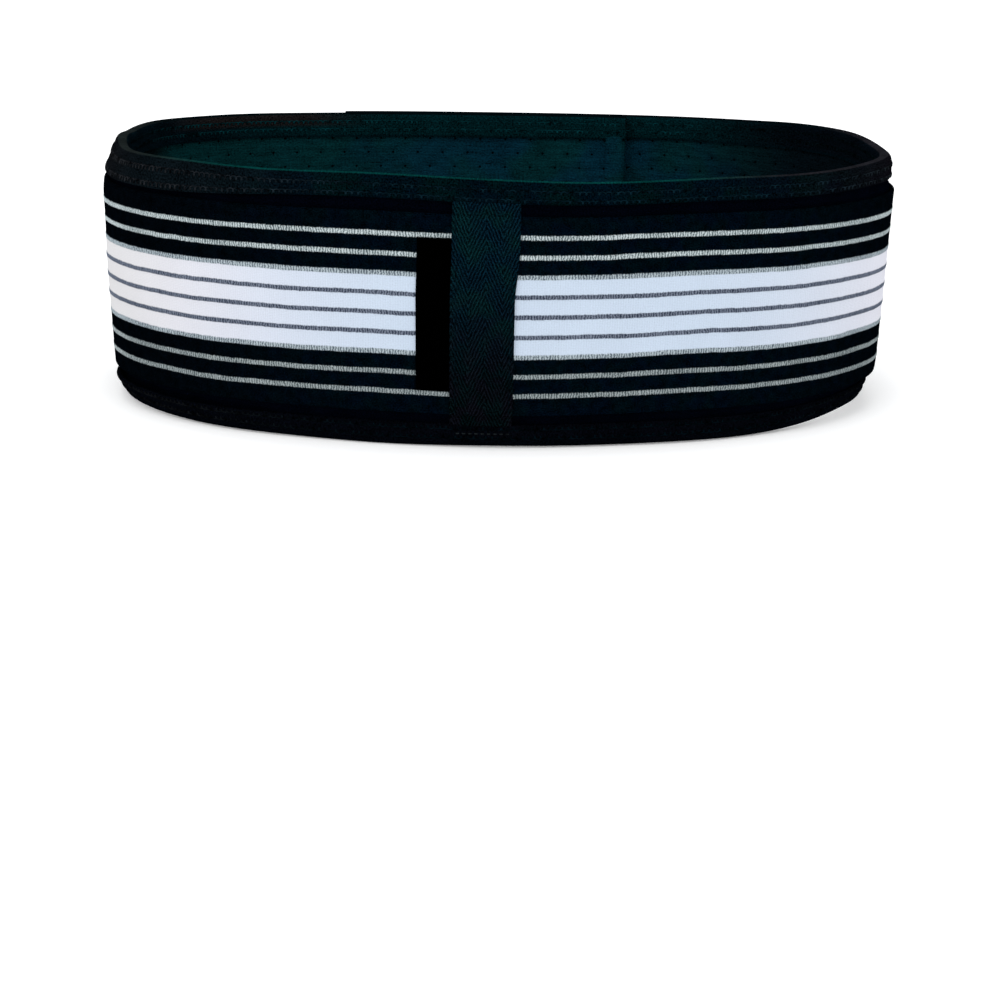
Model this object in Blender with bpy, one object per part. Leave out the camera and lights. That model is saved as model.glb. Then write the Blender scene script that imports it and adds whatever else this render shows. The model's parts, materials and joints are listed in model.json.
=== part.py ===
"""Sacroiliac hip belt, closed round into a loop and standing on its lower edge.

The belt is a strip of outer fabric, foam and lining, bound along both long edges. Two striped
elastic straps are sewn to the middle of its back under a twill tape, and each ends in a hook tab.
The belt closes at the front, where its right end laps over the outside of its left end.

Left and right are the wearer's. Metres, +Z up, +Y to the wearer's front, and the origin is under
the middle of the object's box. A piece is laid out by three distances: along the loop from the
middle of the back, positive to the right; out from the outer face of the straps; and up.
"""

import math

import bmesh
import bpy
from mathutils import Vector

# The loop's plan, taken at the straps' outer face and at mid height
LOOP_HALF_WIDTH = 0.1589
BACK_DEPTH = 0.0931
FRONT_DEPTH = 0.1286
BACK_ROUNDNESS = 2.0
FRONT_ROUNDNESS = 2.86
FLARE = 0.37  # share by which the loop widens for each metre of height
FLARED_REACH = 0.205  # distance round from the back where the flare starts to fade
UPRIGHT_REACH = 0.262  # distance from which the front wall stands upright
LOOP_STATIONS = 72

# Heights
BELT_HEIGHT = 0.103
STRAP_WIDTH = 0.0762
STRAP_FOOT = 0.0133
STRAP_HEAD = STRAP_FOOT + STRAP_WIDTH
MID_HEIGHT = STRAP_FOOT + STRAP_WIDTH / 2

# Thicknesses, and the gap left between pieces that touch
GAP = 0.0003
STRAP_THICKNESS = 0.0019
FABRIC_THICKNESS = 0.0008
LINING_THICKNESS = 0.0007
PINCHED_FABRIC = 0.0006
TAPE_THICKNESS = 0.0009
LABEL_THICKNESS = 0.0007
HOOK_THICKNESS = 0.0008

# The laminate, between the bound edges and pinched inside them
FABRIC_FACE = -STRAP_THICKNESS - GAP
PINCHED_FACE = -0.0039
FOAM_BACK = -0.0059
LINING_FACE = FOAM_BACK - GAP
LINING_BACK = LINING_FACE - LINING_THICKNESS
LAMINATE_INSET = 0.0016  # from the belt's edge to the laminate inside the binding
PINCH_LENGTH = 0.0028  # over which the laminate swells from pinched to full

# The binding, folded over every edge
BINDING_THICKNESS = 0.0008
BINDING_FACE = -0.0028
BINDING_BACK = -0.008
BINDING_CORNER = 0.0012
LOWER_BINDING_REACH = 0.009
UPPER_BINDING_REACH = 0.009
INSIDE_BINDING_REACH = 0.011
END_BINDING_REACH = 0.009

# The closure, measured along the front wall from its middle
HINGE_FROM_MIDDLE = 0.075
FLAP_PAST_MIDDLE = 0.067
UNDERLAP_PAST_MIDDLE = 0.062
LAP_LIFT = 0.0031  # how far each end leaves the plan, to lie one over the other
LAP_RAMP = 0.055
LAP_CLEARANCE = 0.005
FLAP_HOOK_MARGIN = 0.016

# The pieces sewn to the back, and the straps' tabs
TAPE_CENTRE = -0.0068
TAPE_WIDTH = 0.025
LABEL_WIDTH = 0.0125
LABEL_FOOT = 0.0224
LABEL_HEAD = 0.0804
STRAP_END_SPACE = 0.002
TAB_HINGE = 0.270
TAB_END = 0.355
TAB_RAMP = 0.028
TAB_HOOK_MARGIN = 0.012
TAB_BINDING_REACH = 0.010
TAB_BINDING_THICKNESS = 0.0006
HINGE_STAND_OFF = 0.0002  # from a folding layer's outer face to its fold axis

PLAN_SAMPLES = 14400


def smooth(share):
    """Smooth step from 0 to 1, held at both ends."""
    share = min(max(share, 0.0), 1.0)
    return share * share * (3 - 2 * share)


def mix(low, high, share):
    return low + (high - low) * share


# ---- The loop's path ----------------------------------------------------------------------------

def plan_point(turn):
    """Point of the plan, and the way it faces, at a turn measured from the middle of the back."""
    across, forward = math.sin(turn), -math.cos(turn)
    depth, roundness = (
        (FRONT_DEPTH, FRONT_ROUNDNESS) if forward > 0 else (BACK_DEPTH, BACK_ROUNDNESS)
    )
    x = math.copysign(abs(across) ** (2 / roundness), across)
    y = math.copysign(abs(forward) ** (2 / roundness), forward)
    facing = Vector((
        math.copysign(abs(x) ** (roundness - 1), x) / LOOP_HALF_WIDTH,
        math.copysign(abs(y) ** (roundness - 1), y) / depth,
    ))
    return Vector((x * LOOP_HALF_WIDTH, y * depth)), facing.normalized()


def make_rail():
    """Evenly spaced points round the plan with their outward directions, and the plan's length."""
    samples = [plan_point(2 * math.pi * i / PLAN_SAMPLES) for i in range(PLAN_SAMPLES + 1)]
    reached = [0.0]
    for (start, _), (end, _) in zip(samples, samples[1:]):
        reached.append(reached[-1] + (end - start).length)
    rail, sample = [], 0
    for station in range(LOOP_STATIONS):
        target = reached[-1] * station / LOOP_STATIONS
        while reached[sample + 1] < target:
            sample += 1
        share = (target - reached[sample]) / (reached[sample + 1] - reached[sample])
        point = samples[sample][0].lerp(samples[sample + 1][0], share)
        facing = samples[sample][1].lerp(samples[sample + 1][1], share)
        rail.append((point, facing))
    return rail, reached[-1]


RAIL, LOOP_LENGTH = make_rail()
STATION_STEP = LOOP_LENGTH / LOOP_STATIONS
HALF_LOOP = LOOP_LENGTH / 2

FLAP_HINGE = HALF_LOOP - HINGE_FROM_MIDDLE
FLAP_END = HALF_LOOP + FLAP_PAST_MIDDLE
UNDERLAP_END = -(HALF_LOOP + UNDERLAP_PAST_MIDDLE)

TOP_SPREAD = 1 + FLARE * (BELT_HEIGHT - MID_HEIGHT)
STRAP_TOP_SPREAD = 1 + FLARE * (STRAP_HEAD - MID_HEIGHT)
FRONT_REACH = (FRONT_DEPTH + FABRIC_FACE + LAP_LIFT) * TOP_SPREAD
BACK_REACH = (BACK_DEPTH + GAP + TAPE_THICKNESS) * STRAP_TOP_SPREAD
PLAN_CENTRE_Y = (BACK_REACH - FRONT_REACH) / 2


def lap(along):
    """How far the wall leaves the plan: out at the closing flap, in at the end under it."""
    if along > 0:
        return LAP_LIFT * smooth((along - FLAP_HINGE + LAP_CLEARANCE) / LAP_RAMP + 1)
    under_flap = HALF_LOOP - FLAP_PAST_MIDDLE - LAP_CLEARANCE
    return -LAP_LIFT * smooth((-along - under_flap) / LAP_RAMP + 1)


def place(along, out, up):
    """World point at these distances along the loop, out from the straps' face and up."""
    first = math.floor(along / STATION_STEP)
    share = along / STATION_STEP - first
    start, start_facing = RAIL[first % LOOP_STATIONS]
    end, end_facing = RAIL[(first + 1) % LOOP_STATIONS]
    out += lap(along)
    plan = (start + start_facing * out).lerp(end + end_facing * out, share)
    upright = smooth((abs(along) - FLARED_REACH) / (UPRIGHT_REACH - FLARED_REACH))
    plan *= 1 + FLARE * (mix(up, BELT_HEIGHT, upright) - MID_HEIGHT)
    return Vector((plan.x, plan.y + PLAN_CENTRE_Y, up))


def stations(start, end, *extra):
    """Distances along the loop from start to end: both ends, the rail's stations and any extra."""
    clear = STATION_STEP / 10
    first, last = math.ceil((start + clear) / STATION_STEP), math.floor((end - clear) / STATION_STEP)
    inner = [i * STATION_STEP for i in range(first, last + 1)]
    inner = [s for s in inner if all(abs(s - e) > clear for e in extra)]
    return sorted([start, end, *inner, *extra])


# ---- Solids and looks ---------------------------------------------------------------------------

def new_collection(name):
    made = bpy.data.collections.new(name)
    bpy.context.scene.collection.children.link(made)
    return made


def new_look(name, colour, roughness):
    look = bpy.data.materials.new(name)
    look.use_nodes = True
    shader = look.node_tree.nodes["Principled BSDF"]
    shader.inputs["Base Color"].default_value = (*colour, 1.0)
    shader.inputs["Roughness"].default_value = roughness
    shader.inputs["Metallic"].default_value = 0.0
    return look


def new_hinge(name, along, out):
    """Empty on a fold's upright axis, level with the middle of the straps."""
    hinge = bpy.data.objects.new(name, None)
    hinge.location = place(along, out, MID_HEIGHT)
    hinge.empty_display_size = 0.02
    belt_collection.objects.link(hinge)
    return hinge


def closed_sheet(name, face, back, look, hinge=None):
    """Solid sheet between two equal grids of (along, out, up) points, moving with a hinge."""
    columns, rows = len(face) - 1, len(face[0]) - 1
    sheet = bmesh.new()
    bmesh.ops.create_grid(sheet, x_segments=columns, y_segments=rows, size=0.5)
    extruded = bmesh.ops.extrude_face_region(sheet, geom=sheet.faces[:])
    back_verts = {v for v in extruded["geom"] if isinstance(v, bmesh.types.BMVert)}
    for vert in sheet.verts:
        grid = back if vert in back_verts else face
        column, row = round((vert.co.x + 0.5) * columns), round((vert.co.y + 0.5) * rows)
        vert.co = place(*grid[column][row])
    bmesh.ops.recalc_face_normals(sheet, faces=sheet.faces)
    if sheet.calc_volume(signed=True) < 0:
        bmesh.ops.reverse_faces(sheet, faces=sheet.faces)
    mesh = bpy.data.meshes.new(name)
    sheet.to_mesh(mesh)
    sheet.free()
    mesh.shade_smooth()
    mesh.set_sharp_from_angle(angle=math.radians(30))
    mesh.materials.append(look)
    piece = bpy.data.objects.new(name, mesh)
    belt_collection.objects.link(piece)
    if hinge:
        piece.parent = hinge
        piece.matrix_parent_inverse.translation = -hinge.location
    return piece


def flat_layer(name, columns, rows, face, back, look, hinge=None):
    """Sheet over these columns and rows, whose face and back are a number or f(along, up)."""
    def grid(out):
        return [[(s, out(s, z) if callable(out) else out, z) for z in rows] for s in columns]

    return closed_sheet(name, grid(face), grid(back), look, hinge)


# ---- The belt's laminate and bindings -----------------------------------------------------------

class Panel:
    """One length of the belt's laminate with its bindings: the loop itself, or the closing flap."""

    ROWS = [
        LAMINATE_INSET,
        LOWER_BINDING_REACH + GAP,
        STRAP_FOOT - GAP,
        STRAP_HEAD + GAP,
        BELT_HEIGHT - UPPER_BINDING_REACH - GAP,
        BELT_HEIGHT - LAMINATE_INSET,
    ]

    def __init__(self, prefix, end_name, joined_end, free_end, hinge=None):
        self.prefix, self.end_name, self.hinge = prefix, end_name, hinge
        self.joined_end, self.free_end = joined_end, free_end
        inwards = math.copysign(1, joined_end - free_end)
        self.laminate_end = free_end + inwards * LAMINATE_INSET
        self.hem_line = free_end + inwards * (END_BINDING_REACH + GAP)
        self.swell_line = self.hem_line + inwards * PINCH_LENGTH
        self.inwards = inwards

    def columns(self, *stops):
        low, *extra, high = sorted(stops)
        return stations(low, high, *extra)

    def pinch(self, along, up):
        """1 where the laminate is pinched under a binding, 0 where it is full."""
        if up < self.ROWS[1] + GAP / 2 or up > self.ROWS[4] - GAP / 2:
            return 1.0
        return 1.0 if (self.swell_line - along) * self.inwards > GAP / 2 else 0.0

    def fabric_face(self, along, up):
        return mix(FABRIC_FACE, PINCHED_FACE, self.pinch(along, up))

    def fabric_back(self, along, up):
        thickness = mix(FABRIC_THICKNESS, PINCHED_FABRIC, self.pinch(along, up))
        return self.fabric_face(along, up) - thickness

    def foam_face(self, along, up):
        return self.fabric_back(along, up) - GAP

    def build(self):
        swelling = self.columns(
            self.joined_end, self.laminate_end, self.hem_line, self.swell_line
        )
        plain = self.columns(self.joined_end, self.laminate_end)
        whole = self.columns(self.joined_end, self.free_end)
        prefix, hinge = self.prefix, self.hinge
        flat_layer(f"{prefix}_outer_fabric", swelling, self.ROWS, self.fabric_face,
                   self.fabric_back, outer_fabric, hinge)
        flat_layer(f"{prefix}_foam_core", swelling, self.ROWS, self.foam_face,
                   FOAM_BACK, foam, hinge)
        flat_layer(f"{prefix}_inner_lining", plain, [self.ROWS[0], self.ROWS[-1]], LINING_FACE,
                   LINING_BACK, lining, hinge)
        self.edge_binding(f"{prefix}_bottom_binding", whole, LOWER_BINDING_REACH, lambda z: z)
        self.edge_binding(f"{prefix}_top_binding", whole, UPPER_BINDING_REACH,
                          lambda z: BELT_HEIGHT - z)
        self.end_binding()

    def edge_binding(self, name, columns, reach, level):
        """Binding folded over a long edge; level turns a height above the edge into a height."""
        wall, corner = BINDING_THICKNESS, BINDING_CORNER
        front, rear = BINDING_FACE, BINDING_BACK
        fold = corner - wall / 2  # the corner's size on the inside of the fold
        outside = [
            (front, reach), (front, corner), (front - corner, 0),
            (rear + corner, 0), (rear, corner), (rear, INSIDE_BINDING_REACH),
        ]
        front, rear = front - wall, rear + wall
        inside = [
            (front, reach), (front, wall + fold), (front - fold, wall),
            (rear + fold, wall), (rear, wall + fold), (rear, INSIDE_BINDING_REACH),
        ]
        face, back = ([[(s, n, level(z)) for n, z in path] for s in columns]
                      for path in (outside, inside))
        closed_sheet(name, face, back, binding, self.hinge)

    def end_binding(self):
        """Binding folded over the free end, between the two edge bindings' outer legs."""
        wall, corner, tip = BINDING_THICKNESS, BINDING_CORNER, self.free_end
        reach, step = END_BINDING_REACH, self.inwards
        front, rear = BINDING_FACE, BINDING_BACK
        fold = corner - wall / 2
        outside = [
            (reach, front), (corner, front), (0, front - corner),
            (0, rear + corner), (corner, rear), (reach, rear),
        ]
        front, rear = front - wall, rear + wall
        inside = [
            (reach, front), (wall + fold, front), (wall, front - fold),
            (wall, rear + fold), (wall + fold, rear), (reach, rear),
        ]
        levels = [INSIDE_BINDING_REACH + GAP, BELT_HEIGHT - INSIDE_BINDING_REACH - GAP]
        face, back = ([[(tip + step * d, n, z) for z in levels] for d, n in path]
                      for path in (outside, inside))
        closed_sheet(self.end_name, face, back, binding, self.hinge)


# ---- The straps, their tabs, and what is sewn on ------------------------------------------------

def tab_lift(along):
    """How far a strap stands off the belt to leave room for the hook patch behind its tab."""
    ramp_end = TAB_HINGE - GAP
    return (HOOK_THICKNESS + GAP) * smooth((abs(along) - ramp_end) / TAB_RAMP + 1)


def strap_face(along, _up):
    return tab_lift(along)


def strap_back(along, _up):
    return tab_lift(along) - STRAP_THICKNESS


def build_strap(side, name):
    """Elastic from under the tape to the tab's fold; side is 1 on the right and -1 on the left."""
    start = TAPE_CENTRE + side * STRAP_END_SPACE / 2
    end = side * (TAB_HINGE - GAP / 2)
    flat_layer(name, stations(*sorted((start, end))), [STRAP_FOOT, STRAP_HEAD],
               strap_face, strap_back, elastic)


def build_tab(side, prefix):
    """The strap's last stretch, which peels off the belt, with its hook patch and end binding."""
    face = HOOK_THICKNESS + GAP
    hinge = new_hinge(f"{prefix}_fold", side * TAB_HINGE, face + HINGE_STAND_OFF)
    wall = TAB_BINDING_THICKNESS
    cloth_end = TAB_END - wall - GAP

    def columns(start, end):
        return stations(*sorted((side * start, side * end)))

    flat_layer(f"{prefix}_elastic", columns(TAB_HINGE + GAP / 2, cloth_end),
               [STRAP_FOOT, STRAP_HEAD], strap_face, strap_back, elastic, hinge)
    hook_face = face - STRAP_THICKNESS - GAP
    flat_layer(f"{prefix}_hook_patch",
               columns(TAB_HINGE + TAB_HOOK_MARGIN, TAB_END - TAB_BINDING_REACH - GAP),
               [STRAP_FOOT + STRAP_THICKNESS, STRAP_HEAD - STRAP_THICKNESS],
               hook_face, hook_face - HOOK_THICKNESS, hook_tape, hinge)
    front, rear = face + GAP, face - STRAP_THICKNESS - GAP
    reach = TAB_END - TAB_BINDING_REACH
    outside = [(reach, front + wall), (TAB_END, front + wall),
               (TAB_END, rear - wall), (reach, rear - wall)]
    inside = [(reach, front), (TAB_END - wall, front), (TAB_END - wall, rear), (reach, rear)]
    outer, inner = ([[(side * s, n, z) for z in (STRAP_FOOT, STRAP_HEAD)] for s, n in path]
                    for path in (outside, inside))
    closed_sheet(f"{prefix}_end_binding", outer, inner, binding, hinge)


def build_tape():
    """Twill tape over the straps' inner ends, stepping down to the belt above and below them."""
    half = TAPE_WIDTH / 2
    rows = [
        (LOWER_BINDING_REACH + GAP, FABRIC_FACE + GAP),
        (STRAP_FOOT - GAP, GAP),
        (STRAP_HEAD + GAP, GAP),
        (BELT_HEIGHT - UPPER_BINDING_REACH - GAP, FABRIC_FACE + GAP),
    ]
    columns = stations(TAPE_CENTRE - half, TAPE_CENTRE + half)
    back = [[(s, n, z) for z, n in rows] for s in columns]
    face = [[(s, n + TAPE_THICKNESS, z) for z, n in rows] for s in columns]
    closed_sheet("centre_back_tape", face, back, twill)


def build_label():
    end = TAPE_CENTRE - TAPE_WIDTH / 2 - GAP
    flat_layer("side_label", stations(end - LABEL_WIDTH, end), [LABEL_FOOT, LABEL_HEAD],
               GAP + LABEL_THICKNESS, GAP, label_cloth)


def build_flap_hook():
    columns = stations(FLAP_HINGE + FLAP_HOOK_MARGIN, FLAP_END - FLAP_HOOK_MARGIN)
    face = LINING_BACK - GAP
    flat_layer("flap_hook_patch", columns, [STRAP_FOOT, STRAP_HEAD], face,
               face - HOOK_THICKNESS, hook_tape, flap_hinge)


for old in list(bpy.data.objects):
    bpy.data.objects.remove(old)

belt_collection = new_collection("sacroiliac_hip_belt")

outer_fabric = new_look("outer_fabric", (0.003, 0.006, 0.009), 0.9)
foam = new_look("foam", (0.02, 0.02, 0.022), 0.95)
lining = new_look("lining", (0.004, 0.013, 0.017), 0.85)
binding = new_look("binding", (0.003, 0.007, 0.01), 0.8)
elastic = new_look("striped_elastic", (0.45, 0.47, 0.52), 0.85)
twill = new_look("twill_tape", (0.004, 0.008, 0.01), 0.75)
label_cloth = new_look("label_cloth", (0.001, 0.001, 0.001), 0.7)
hook_tape = new_look("hook_tape", (0.006, 0.006, 0.007), 0.6)

flap_hinge = new_hinge("closure_flap_fold", FLAP_HINGE, FABRIC_FACE + HINGE_STAND_OFF)

Panel("base", "underlap_end_binding", FLAP_HINGE - GAP / 2, UNDERLAP_END).build()
Panel("flap", "flap_end_binding", FLAP_HINGE + GAP / 2, FLAP_END, flap_hinge).build()
build_flap_hook()
build_strap(1, "right_tension_strap")
build_strap(-1, "left_tension_strap")
build_tab(1, "right_tab")
build_tab(-1, "left_tab")
build_tape()
build_label()
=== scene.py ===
"""Looks of the sacroiliac hip belt: its cloth, foam, elastic, bindings, threads and hooks.

Pieces are laid out as in the frame: along the loop from the middle of the back, positive to the
wearer's right; out from the outer face of the straps; and up from the lower edge. Metres.
"""
import json
import math

import bmesh
import bpy
import numpy as np
from mathutils import Matrix, Vector


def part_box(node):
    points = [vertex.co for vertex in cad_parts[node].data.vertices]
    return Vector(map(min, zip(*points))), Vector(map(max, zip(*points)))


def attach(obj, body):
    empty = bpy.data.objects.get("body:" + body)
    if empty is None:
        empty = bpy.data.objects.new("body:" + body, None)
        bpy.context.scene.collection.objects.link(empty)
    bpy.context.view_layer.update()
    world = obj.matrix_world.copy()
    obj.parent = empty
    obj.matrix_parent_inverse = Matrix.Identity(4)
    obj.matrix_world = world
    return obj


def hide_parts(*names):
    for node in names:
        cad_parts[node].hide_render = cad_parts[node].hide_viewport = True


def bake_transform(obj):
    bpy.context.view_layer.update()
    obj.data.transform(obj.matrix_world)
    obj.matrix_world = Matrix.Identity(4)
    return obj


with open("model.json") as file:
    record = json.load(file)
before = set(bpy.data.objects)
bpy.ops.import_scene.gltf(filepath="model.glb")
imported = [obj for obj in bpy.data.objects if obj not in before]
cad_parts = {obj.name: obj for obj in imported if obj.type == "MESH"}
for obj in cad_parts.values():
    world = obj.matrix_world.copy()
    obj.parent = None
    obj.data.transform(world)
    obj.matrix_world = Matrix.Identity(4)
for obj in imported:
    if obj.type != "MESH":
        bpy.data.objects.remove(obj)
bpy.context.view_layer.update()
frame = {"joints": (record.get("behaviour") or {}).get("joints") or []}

MM = 0.001

# ---- Sizes, read from the frame where it states them ----

strap_low, strap_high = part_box("right_tension_strap")
label_low, label_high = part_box("side_label")

BELT_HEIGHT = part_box("base_top_binding")[1].z
STRAP_FOOT, STRAP_HEAD = strap_low.z, strap_high.z
MID_HEIGHT = (STRAP_FOOT + STRAP_HEAD) / 2

# The loop's plan, at the straps' outer face and at mid height
LOOP_HALF_WIDTH = 0.1589
BACK_DEPTH = 0.0931
FRONT_DEPTH = 0.1286
BACK_ROUNDNESS = 2.0
FRONT_ROUNDNESS = 2.86
FLARE = 0.37  # share by which the loop widens for each metre of height
FLARED_REACH = 0.205
UPRIGHT_REACH = 0.262
PLAN_SAMPLES = 7200
PLAN_SOFTENING = 6 * MM  # how far the curve's bends are eased along the loop

# Thicknesses and depths, outwards from the straps' face
STRAP_THICKNESS = 1.9 * MM
CLEARANCE = 0.15 * MM
FABRIC_FACE = -2.15 * MM
FABRIC_THICKNESS = 0.8 * MM
PINCHED_FACE = -3.8 * MM
FOAM_BACK = -5.9 * MM
LINING_FACE = -6.05 * MM
LINING_BACK = -6.9 * MM
BINDING_FACE = -2.8 * MM
BINDING_BACK = -8.0 * MM
BINDING_THICKNESS = 0.75 * MM
REACH = 9.0 * MM  # how far a binding's legs come in from the edge
INSIDE_REACH = 11.0 * MM  # the same, for an edge binding's inner leg
HOOK_STAND = 1.1 * MM  # how far a strap's tab stands off for the hooks behind it

# The closure and the folds
HINGE_FROM_MIDDLE = 75 * MM
FLAP_PAST_MIDDLE = 67 * MM
UNDERLAP_PAST_MIDDLE = 62 * MM
LAP_LIFT = 3.1 * MM
LAP_RAMP = 55 * MM
LAP_CLEARANCE = 5 * MM
FLAP_FOLD = (-3 * MM, 27 * MM)  # where the cloth turns, before and after the fold's axis
TAB_FOLD = (-2 * MM, 20 * MM)
FLAP_PIECE_LEAD = 42 * MM  # the flap's own cloth starts this far before its fold
TAB_HINGE = 270 * MM
TAB_END = 355 * MM
TAB_RAMP = 28 * MM
TAPE_CENTRE = -6.8 * MM
TAPE_HALF = 12.5 * MM
TAPE_THICKNESS = 0.85 * MM
LABEL_WIDTH = 12.6 * MM
LABEL_THICKNESS = 0.6 * MM


def smooth(share):
    share = np.clip(share, 0.0, 1.0)
    return share * share * (3 - 2 * share)


def mix(low, high, share):
    return low + (high - low) * share


def spread(*values):
    """These values as arrays of one shape."""
    return np.broadcast_arrays(*(np.asarray(v, float) for v in values))


# ---- The loop ----

def plan_outline():
    """The plan's points at even steps round it, with its bends eased, and its length."""
    turn = np.linspace(0, 2 * np.pi, PLAN_SAMPLES + 1)
    across, forward = np.sin(turn), -np.cos(turn)
    depth = np.where(forward > 0, FRONT_DEPTH, BACK_DEPTH)
    power = 2 / np.where(forward > 0, FRONT_ROUNDNESS, BACK_ROUNDNESS)
    raw = np.stack([
        LOOP_HALF_WIDTH * np.sign(across) * np.abs(across) ** power,
        depth * np.sign(forward) * np.abs(forward) ** power,
    ], 1)
    steps = np.linalg.norm(np.diff(raw, axis=0), axis=1)
    reached = np.concatenate([[0], np.cumsum(steps)])
    even = np.linspace(0, reached[-1], PLAN_SAMPLES, endpoint=False)
    outline = np.stack([np.interp(even, reached, raw[:, i]) for i in (0, 1)], 1)
    waves = np.fft.fftfreq(PLAN_SAMPLES, reached[-1] / PLAN_SAMPLES) * 2 * np.pi
    kept = np.exp(-(waves * PLAN_SOFTENING) ** 2 / 2)[:, None]
    return np.fft.ifft(np.fft.fft(outline, axis=0) * kept, axis=0).real, reached[-1]


OUTLINE, LOOP_LENGTH = plan_outline()
HALF_LOOP = LOOP_LENGTH / 2
FLAP_HINGE = HALF_LOOP - HINGE_FROM_MIDDLE
FLAP_END = HALF_LOOP + FLAP_PAST_MIDDLE
UNDERLAP_END = -(HALF_LOOP + UNDERLAP_PAST_MIDDLE)
FLAP_PIECE_START = FLAP_HINGE - FLAP_PIECE_LEAD
flap_joint, = (j for j in frame["joints"] if j["name"] == "closure_flap_peel")
HINGE_OUT = -2.0 * MM


def lap(along):
    """How far the wall leaves the plan: out at the closing flap, in at the end under it."""
    under_flap = HALF_LOOP - FLAP_PAST_MIDDLE - LAP_CLEARANCE
    outwards = LAP_LIFT * smooth((along - FLAP_HINGE + LAP_CLEARANCE) / LAP_RAMP + 1)
    inwards = -LAP_LIFT * smooth((-along - under_flap) / LAP_RAMP + 1)
    return np.where(along > 0, outwards, inwards)


def humps(along, *rises):
    """Sum of smooth humps round the loop, each (height, centre, reach), these two in millimetres."""
    return sum(height * np.exp(-(((along - centre * MM) / (reach * MM)) ** 2))
               for height, centre, reach in rises)


def wander(along, up):
    """How far the soft wall stands in or out: slow waves, and edges that lean in at the sides."""
    fade = 1 - smooth((np.abs(along) - UPRIGHT_REACH) / (40 * MM))
    waves = (
        0.35 * np.sin(along / (31 * MM) + 0.8) * np.cos((up - MID_HEIGHT) / (42 * MM))
        + 0.3 * np.sin(along / (17.2 * MM) + 2.1 + up / (50 * MM))
        + 0.15 * np.sin(along / (9.4 * MM) + up / (21 * MM))
    )
    high = smooth((up - BELT_HEIGHT + 20 * MM) / (20 * MM))
    low = smooth((18 * MM - up) / (18 * MM))
    lean = -high * humps(along, (3.1, -188, 45), (-0.3, 215, 40))
    tuck = -low * humps(along, (0.6, -170, 50), (2.6, 175, 50))
    draw = humps(along, (-0.6, -200, 45)) * smooth((up - 52 * MM) / (25 * MM))
    return (waves * fade + lean + tuck + draw) * MM


def edge_wave(along, up):
    """Rise and fall of the belt's long edges; the lower one never goes below the floor."""
    high = smooth((up - BELT_HEIGHT + 23 * MM) / (23 * MM))
    low = smooth((21 * MM - up) / (21 * MM))
    fade = 1 - smooth((np.abs(along) - UPRIGHT_REACH) / (60 * MM))
    sag = humps(along, (-1.9, 32, 44), (-1.1, 110, 45))
    ripple = 0.22 * np.sin(along / (23.5 * MM) + 1.1) + 0.15 * np.sin(along / (11.8 * MM))
    corners = humps(along, (1.7, 275, 50), (0.3, -290, 40), (1.1, -238, 34), (1.2, 228, 36),
                    (2.2, -206, 18))
    lift = 0.25 + 0.15 * np.sin(along / (27 * MM) + 0.4) + 0.1 * np.sin(along / (13.5 * MM) + 2)
    lift = lift + 2.3 * smooth((along - 90 * MM) / (80 * MM))
    lift = lift + 0.7 * smooth((-along - 120 * MM) / (60 * MM))
    slope = np.cos((along + 52 * MM) / (20 * MM)) * humps(along, (0.45, 20, 130))
    return ((high * (sag + ripple) + low * lift + (1 - low) * slope) * fade + high * corners) * MM


def place(along, out, up):
    """World points at these distances; the three may be arrays that broadcast together."""
    along, out, up = spread(along, out, up)
    position = (along / LOOP_LENGTH * PLAN_SAMPLES) % PLAN_SAMPLES
    first = np.floor(position).astype(int)
    share = (position - first)[..., None]
    start, end = OUTLINE[first % PLAN_SAMPLES], OUTLINE[(first + 1) % PLAN_SAMPLES]
    ahead = OUTLINE[(first + 6) % PLAN_SAMPLES] - OUTLINE[(first - 5) % PLAN_SAMPLES]
    ahead /= np.linalg.norm(ahead, axis=-1, keepdims=True)
    facing = np.stack([ahead[..., 1], -ahead[..., 0]], -1)
    out = out + lap(along) + wander(along, up)
    plan = start + (end - start) * share + facing * out[..., None]
    upright = smooth((np.abs(along) - FLARED_REACH) / (UPRIGHT_REACH - FLARED_REACH))
    plan = plan * (1 + FLARE * (mix(up, BELT_HEIGHT, upright) - MID_HEIGHT))[..., None]
    height = up + edge_wave(along, up)
    return np.stack([plan[..., 0], plan[..., 1] + PLAN_CENTRE_Y, height], -1)


# The frame's origin is under the middle of its box; the flap's hinge ties the plan to it.
PLAN_CENTRE_Y = 0.0
PLAN_CENTRE_Y = flap_joint["pos_m"][1] - place(FLAP_HINGE, HINGE_OUT, MID_HEIGHT)[1]


def tab_lift(along):
    return HOOK_STAND * smooth((np.abs(along) - TAB_HINGE) / TAB_RAMP + 1)


# ---- Materials ----

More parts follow.
